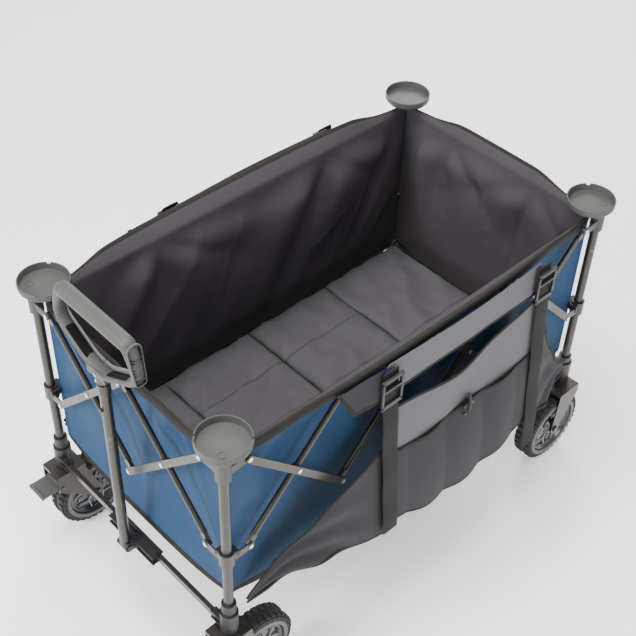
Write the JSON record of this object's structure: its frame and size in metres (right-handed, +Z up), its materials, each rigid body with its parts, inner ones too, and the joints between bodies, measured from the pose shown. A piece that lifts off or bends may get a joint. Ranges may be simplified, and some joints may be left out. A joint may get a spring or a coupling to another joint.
{
  "type": "beach cart",
  "caption": "Folding beach cart with a scissor frame, cloth tub, corner cup holders, swivel front wheels with brakes and a sliding pull handle.",
  "frame": {"origin": "on the ground, below the middle of the open cart's box", "axes": "+X forward towards the handle, +Y to the cart's left, +Z up"},
  "size_m": [1.183, 0.7644, 0.903],
  "materials": {
    "bronze_steel": "bronze-grey metallic powder coat",
    "grey_plastic": "fine-textured grey plastic",
    "black_plastic": "fine-textured black plastic",
    "tyre": "moulded tread, dull",
    "smoky_plastic": "smoky satin plastic",
    "blue_cloth": "woven polyester"
  },
  "bodies": {
    "leg_front_left": {"leg_front_left": "bronze_steel", "cup_holder_front_left": "grey_plastic", "caster_bracket_left": "black_plastic", "fabric_tub": "blue_cloth"},
    "leg_front_right": {"leg_front_right": "bronze_steel", "cup_holder_front_right": "grey_plastic", "caster_bracket_right": "black_plastic"},
    "leg_rear_left": {"leg_rear_left": "bronze_steel", "cup_holder_rear_left": "grey_plastic", "rear_fork_left": "bronze_steel"},
    "leg_rear_right": {"leg_rear_right": "bronze_steel", "cup_holder_rear_right": "grey_plastic", "rear_fork_right": "bronze_steel"},
    "left_flat_bar_1": {"left_flat_bar_1": "bronze_steel"},
    "left_flat_bar_2": {"left_flat_bar_2": "bronze_steel"},
    "left_flat_bar_3": {"left_flat_bar_3": "bronze_steel"},
    "left_flat_bar_4": {"left_flat_bar_4": "bronze_steel"},
    "left_round_bar_1": {"left_round_bar_1": "bronze_steel"},
    "left_round_bar_2": {"left_round_bar_2": "bronze_steel"},
    "left_round_bar_3": {"left_round_bar_3": "bronze_steel"},
    "left_round_bar_4": {"left_round_bar_4": "bronze_steel"},
    "slider_front_left": {"slider_front_left": "black_plastic"},
    "slider_rear_left": {"slider_rear_left": "black_plastic"},
    "front_flat_bar_left": {"front_flat_bar_left": "bronze_steel"},
    "front_flat_bar_right": {"front_flat_bar_right": "bronze_steel"},
    "front_round_bar_left": {"front_round_bar_left": "bronze_steel"},
    "front_round_bar_right": {"front_round_bar_right": "bronze_steel"},
    "rear_flat_bar_left": {"rear_flat_bar_left": "bronze_steel"},
    "rear_flat_bar_right": {"rear_flat_bar_right": "bronze_steel"},
    "rear_round_bar_left": {"rear_round_bar_left": "bronze_steel"},
    "rear_round_bar_right": {"rear_round_bar_right": "bronze_steel"},
    "right_flat_bar_1": {"right_flat_bar_1": "bronze_steel"},
    "right_flat_bar_2": {"right_flat_bar_2": "bronze_steel"},
    "right_flat_bar_3": {"right_flat_bar_3": "bronze_steel"},
    "right_flat_bar_4": {"right_flat_bar_4": "bronze_steel"},
    "right_round_bar_1": {"right_round_bar_1": "bronze_steel"},
    "right_round_bar_2": {"right_round_bar_2": "bronze_steel"},
    "right_round_bar_3": {"right_round_bar_3": "bronze_steel"},
    "right_round_bar_4": {"right_round_bar_4": "bronze_steel"},
    "slider_front_right": {"slider_front_right": "black_plastic"},
    "slider_rear_right": {"slider_rear_right": "black_plastic"},
    "caster_fork_left": {"caster_fork_left": "bronze_steel"},
    "brake_pedal_left": {"brake_pedal_left": "grey_plastic"},
    "wheel_front_left": {"tyre_front_left": "tyre", "rim_front_left": "smoky_plastic"},
    "wheel_rear_left": {"tyre_rear_left": "tyre", "rim_rear_left": "smoky_plastic"},
    "caster_fork_right": {"caster_fork_right": "bronze_steel"},
    "brake_pedal_right": {"brake_pedal_right": "grey_plastic"},
    "wheel_front_right": {"tyre_front_right": "tyre", "rim_front_right": "smoky_plastic"},
    "wheel_rear_right": {"tyre_rear_right": "tyre", "rim_rear_right": "smoky_plastic"},
    "cross_bar_left": {"cross_bar_left": "bronze_steel"},
    "cross_bar_right": {"cross_bar_right": "bronze_steel"},
    "handle_bracket": {"handle_bracket": "black_plastic"},
    "handle_lower": {"handle_outer_tube": "bronze_steel"},
    "handle_button": {"handle_button": "black_plastic"},
    "handle_upper": {"handle_inner_tube": "bronze_steel", "handle_grip": "grey_plastic"}
  },
  "joints": [
    {"name": "frame_fold", "type": "hinge", "parent": "leg_front_left", "child": "left_flat_bar_1", "pos_m": [0.4575, 0.287, 0.7], "axis": [0, -1, 0], "range_deg": [0, 33.4], "deforming": ["fabric_tub"]},
    {"name": "left_round_bar_2_pivot", "type": "hinge", "parent": "left_flat_bar_1", "child": "left_round_bar_2", "pos_m": [0.2205, 0.287, 0.44929], "axis": [0, -1, 0], "range_deg": [-67.3, 0]},
    {"name": "left_flat_bar_3_pivot", "type": "hinge", "parent": "left_round_bar_2", "child": "left_flat_bar_3", "pos_m": [-0.0165, 0.287, 0.7], "axis": [0, -1, 0], "range_deg": [0, 67.3]},
    {"name": "left_round_bar_4_pivot", "type": "hinge", "parent": "left_flat_bar_3", "child": "left_round_bar_4", "pos_m": [-0.2535, 0.287, 0.44929], "axis": [0, -1, 0], "range_deg": [-67.3, 0]},
    {"name": "leg_rear_left_pivot", "type": "hinge", "parent": "left_round_bar_4", "child": "leg_rear_left", "pos_m": [-0.4905, 0.287, 0.7], "axis": [0, -1, 0], "range_deg": [0, 33.9]},
    {"name": "left_crossing_1", "type": "hinge", "parent": "left_flat_bar_1", "child": "left_round_bar_1", "pos_m": [0.339, 0.287, 0.57464], "axis": [0, -1, 0], "range_deg": [-67.3, 0]},
    {"name": "left_crossing_2", "type": "hinge", "parent": "left_round_bar_2", "child": "left_flat_bar_2", "pos_m": [0.102, 0.287, 0.57464], "axis": [0, -1, 0], "range_deg": [0, 67.3]},
    {"name": "left_crossing_3", "type": "hinge", "parent": "left_flat_bar_3", "child": "left_round_bar_3", "pos_m": [-0.135, 0.287, 0.57464], "axis": [0, -1, 0], "range_deg": [-67.3, 0]},
    {"name": "left_crossing_4", "type": "hinge", "parent": "left_round_bar_4", "child": "left_flat_bar_4", "pos_m": [-0.372, 0.287, 0.57464], "axis": [0, -1, 0], "range_deg": [0, 67.3]},
    {"name": "slider_front_left_pivot", "type": "hinge", "parent": "left_round_bar_1", "child": "slider_front_left", "pos_m": [0.4575, 0.287, 0.44929], "axis": [0, -1, 0], "range_deg": [0, 33.9]},
    {"name": "slider_rear_left_pivot", "type": "hinge", "parent": "left_flat_bar_4", "child": "slider_rear_left", "pos_m": [-0.4905, 0.287, 0.44929], "axis": [0, -1, 0], "range_deg": [-33.9, 0]},
    {"name": "front_flat_bar_left_pivot", "type": "hinge", "parent": "leg_front_left", "child": "front_flat_bar_left", "pos_m": [0.5075, 0.237, 0.7], "axis": [1, 0, 0], "range_deg": [0, 33.9]},
    {"name": "front_round_bar_right_pivot", "type": "hinge", "parent": "front_flat_bar_left", "child": "front_round_bar_right", "pos_m": [0.5075, 0, 0.44929], "axis": [1, 0, 0], "range_deg": [-67.3, 0]},
    {"name": "front_crossing_left", "type": "hinge", "parent": "front_flat_bar_left", "child": "front_round_bar_left", "pos_m": [0.5075, 0.1185, 0.57464], "axis": [1, 0, 0], "range_deg": [-67.3, 0]},
    {"name": "front_crossing_right", "type": "hinge", "parent": "front_round_bar_right", "child": "front_flat_bar_right", "pos_m": [0.5075, -0.1185, 0.57464], "axis": [1, 0, 0], "range_deg": [0, 67.3]},
    {"name": "leg_front_right_pivot", "type": "hinge", "parent": "front_round_bar_right", "child": "leg_front_right", "pos_m": [0.5075, -0.237, 0.7], "axis": [1, 0, 0], "range_deg": [0, 33.9]},
    {"name": "rear_flat_bar_left_pivot", "type": "hinge", "parent": "leg_rear_left", "child": "rear_flat_bar_left", "pos_m": [-0.5405, 0.237, 0.7], "axis": [1, 0, 0], "range_deg": [0, 33.9]},
    {"name": "rear_round_bar_right_pivot", "type": "hinge", "parent": "rear_flat_bar_left", "child": "rear_round_bar_right", "pos_m": [-0.5405, 0, 0.44929], "axis": [1, 0, 0], "range_deg": [-67.3, 0]},
    {"name": "rear_crossing_left", "type": "hinge", "parent": "rear_flat_bar_left", "child": "rear_round_bar_left", "pos_m": [-0.5405, 0.1185, 0.57464], "axis": [1, 0, 0], "range_deg": [-67.3, 0]},
    {"name": "rear_crossing_right", "type": "hinge", "parent": "rear_round_bar_right", "child": "rear_flat_bar_right", "pos_m": [-0.5405, -0.1185, 0.57464], "axis": [1, 0, 0], "range_deg": [0, 67.3]},
    {"name": "right_flat_bar_1_pivot", "type": "hinge", "parent": "leg_front_right", "child": "right_flat_bar_1", "pos_m": [0.4575, -0.287, 0.7], "axis": [0, -1, 0], "range_deg": [0, 33.9]},
    {"name": "right_round_bar_2_pivot", "type": "hinge", "parent": "right_flat_bar_1", "child": "right_round_bar_2", "pos_m": [0.2205, -0.287, 0.44929], "axis": [0, -1, 0], "range_deg": [-67.3, 0]},
    {"name": "right_flat_bar_3_pivot", "type": "hinge", "parent": "right_round_bar_2", "child": "right_flat_bar_3", "pos_m": [-0.0165, -0.287, 0.7], "axis": [0, -1, 0], "range_deg": [0, 67.3]},
    {"name": "right_round_bar_4_pivot", "type": "hinge", "parent": "right_flat_bar_3", "child": "right_round_bar_4", "pos_m": [-0.2535, -0.287, 0.44929], "axis": [0, -1, 0], "range_deg": [-67.3, 0]},
    {"name": "leg_rear_right_pivot", "type": "hinge", "parent": "right_round_bar_4", "child": "leg_rear_right", "pos_m": [-0.4905, -0.287, 0.7], "axis": [0, -1, 0], "range_deg": [0, 33.9]},
    {"name": "right_crossing_1", "type": "hinge", "parent": "right_flat_bar_1", "child": "right_round_bar_1", "pos_m": [0.339, -0.287, 0.57464], "axis": [0, -1, 0], "range_deg": [-67.3, 0]},
    {"name": "right_crossing_2", "type": "hinge", "parent": "right_round_bar_2", "child": "right_flat_bar_2", "pos_m": [0.102, -0.287, 0.57464], "axis": [0, -1, 0], "range_deg": [0, 67.3]},
    {"name": "right_crossing_3", "type": "hinge", "parent": "right_flat_bar_3", "child": "right_round_bar_3", "pos_m": [-0.135, -0.287, 0.57464], "axis": [0, -1, 0], "range_deg": [-67.3, 0]},
    {"name": "right_crossing_4", "type": "hinge", "parent": "right_round_bar_4", "child": "right_flat_bar_4", "pos_m": [-0.372, -0.287, 0.57464], "axis": [0, -1, 0], "range_deg": [0, 67.3]},
    {"name": "slider_front_right_pivot", "type": "hinge", "parent": "right_round_bar_1", "child": "slider_front_right", "pos_m": [0.4575, -0.287, 0.44929], "axis": [0, -1, 0], "range_deg": [0, 33.9]},
    {"name": "slider_rear_right_pivot", "type": "hinge", "parent": "right_flat_bar_4", "child": "slider_rear_right", "pos_m": [-0.4905, -0.287, 0.44929], "axis": [0, -1, 0], "range_deg": [-33.9, 0]},
    {"name": "caster_swivel_left", "type": "hinge", "parent": "leg_front_left", "child": "caster_fork_left", "pos_m": [0.5075, 0.287, 0.204], "axis": [0, 0, 1], "continuous": true},
    {"name": "brake_pedal_left_press", "type": "hinge", "parent": "caster_fork_left", "child": "brake_pedal_left", "pos_m": [0.5375, 0.287, 0.174], "axis": [0, 1, 0], "range_deg": [0, 20]},
    {"name": "wheel_front_left_spin", "type": "hinge", "parent": "caster_fork_left", "child": "wheel_front_left", "pos_m": [0.4525, 0.287, 0.095], "axis": [0, 1, 0], "continuous": true},
    {"name": "wheel_rear_left_spin", "type": "hinge", "parent": "leg_rear_left", "child": "wheel_rear_left", "pos_m": [-0.4965, 0.3, 0.095], "axis": [0, 1, 0], "continuous": true},
    {"name": "caster_swivel_right", "type": "hinge", "parent": "leg_front_right", "child": "caster_fork_right", "pos_m": [0.5075, -0.287, 0.204], "axis": [0, 0, 1], "continuous": true},
    {"name": "brake_pedal_right_press", "type": "hinge", "parent": "caster_fork_right", "child": "brake_pedal_right", "pos_m": [0.5375, -0.287, 0.174], "axis": [0, 1, 0], "range_deg": [0, 20]},
    {"name": "wheel_front_right_spin", "type": "hinge", "parent": "caster_fork_right", "child": "wheel_front_right", "pos_m": [0.4525, -0.287, 0.095], "axis": [0, 1, 0], "continuous": true},
    {"name": "wheel_rear_right_spin", "type": "hinge", "parent": "leg_rear_right", "child": "wheel_rear_right", "pos_m": [-0.4965, -0.3, 0.095], "axis": [0, 1, 0], "continuous": true},
    {"name": "cross_bar_left_pivot", "type": "hinge", "parent": "leg_front_left", "child": "cross_bar_left", "pos_m": [0.5175, 0.257, 0.24], "axis": [0, 0, 1], "range_deg": [0, 86.91]},
    {"name": "cross_bar_right_pivot", "type": "hinge", "parent": "leg_front_right", "child": "cross_bar_right", "pos_m": [0.5175, -0.257, 0.24], "axis": [0, 0, 1], "range_deg": [-86.91, 0]},
    {"name": "handle_bracket_pivot", "type": "hinge", "parent": "cross_bar_left", "child": "handle_bracket", "pos_m": [0.5175, 0.068, 0.24], "axis": [0, 0, 1], "range_deg": [-86.91, 0]},
    {"name": "handle_tilt", "type": "hinge", "parent": "handle_bracket", "child": "handle_lower", "pos_m": [0.5485, 0, 0.24], "axis": [0, 1, 0], "range_deg": [0, 90]},
    {"name": "handle_slide", "type": "slide", "parent": "handle_lower", "child": "handle_upper", "axis": [0, 0, 1], "range_m": [0, 0.3]},
    {"name": "handle_button_press", "type": "slide", "parent": "handle_lower", "child": "handle_button", "axis": [-1, 0, 0], "range_m": [0, 0.003], "stiffness_N_per_m": 300, "springref_m": -0.001}
  ],
  "couplings": [
    {"joint": "left_round_bar_2_pivot", "follows": "frame_fold", "ratio": -2},
    {"joint": "left_flat_bar_3_pivot", "follows": "frame_fold", "ratio": 2},
    {"joint": "left_round_bar_4_pivot", "follows": "frame_fold", "ratio": -2},
    {"joint": "leg_rear_left_pivot", "follows": "frame_fold", "ratio": 1},
    {"joint": "left_crossing_1", "follows": "frame_fold", "ratio": -2},
    {"joint": "left_crossing_2", "follows": "frame_fold", "ratio": 2},
    {"joint": "left_crossing_3", "follows": "frame_fold", "ratio": -2},
    {"joint": "left_crossing_4", "follows": "frame_fold", "ratio": 2},
    {"joint": "slider_front_left_pivot", "follows": "frame_fold", "ratio": 1},
    {"joint": "slider_rear_left_pivot", "follows": "frame_fold", "ratio": -1},
    {"joint": "front_flat_bar_left_pivot", "follows": "frame_fold", "ratio": 1},
    {"joint": "front_round_bar_right_pivot", "follows": "frame_fold", "ratio": -2},
    {"joint": "front_crossing_left", "follows": "frame_fold", "ratio": -2},
    {"joint": "front_crossing_right", "follows": "frame_fold", "ratio": 2},
    {"joint": "leg_front_right_pivot", "follows": "frame_fold", "ratio": 1},
    {"joint": "rear_flat_bar_left_pivot", "follows": "frame_fold", "ratio": 1},
    {"joint": "rear_round_bar_right_pivot", "follows": "frame_fold", "ratio": -2},
    {"joint": "rear_crossing_left", "follows": "frame_fold", "ratio": -2},
    {"joint": "rear_crossing_right", "follows": "frame_fold", "ratio": 2},
    {"joint": "right_flat_bar_1_pivot", "follows": "frame_fold", "ratio": 1},
    {"joint": "right_round_bar_2_pivot", "follows": "frame_fold", "ratio": -2},
    {"joint": "right_flat_bar_3_pivot", "follows": "frame_fold", "ratio": 2},
    {"joint": "right_round_bar_4_pivot", "follows": "frame_fold", "ratio": -2},
    {"joint": "leg_rear_right_pivot", "follows": "frame_fold", "ratio": 1},
    {"joint": "right_crossing_1", "follows": "frame_fold", "ratio": -2},
    {"joint": "right_crossing_2", "follows": "frame_fold", "ratio": 2},
    {"joint": "right_crossing_3", "follows": "frame_fold", "ratio": -2},
    {"joint": "right_crossing_4", "follows": "frame_fold", "ratio": 2},
    {"joint": "slider_front_right_pivot", "follows": "frame_fold", "ratio": 1},
    {"joint": "slider_rear_right_pivot", "follows": "frame_fold", "ratio": -1},
    {"joint": "cross_bar_left_pivot", "follows": "frame_fold", "ratio": 2.587},
    {"joint": "cross_bar_right_pivot", "follows": "frame_fold", "ratio": -2.587},
    {"joint": "handle_bracket_pivot", "follows": "frame_fold", "ratio": -2.587}
  ]
}
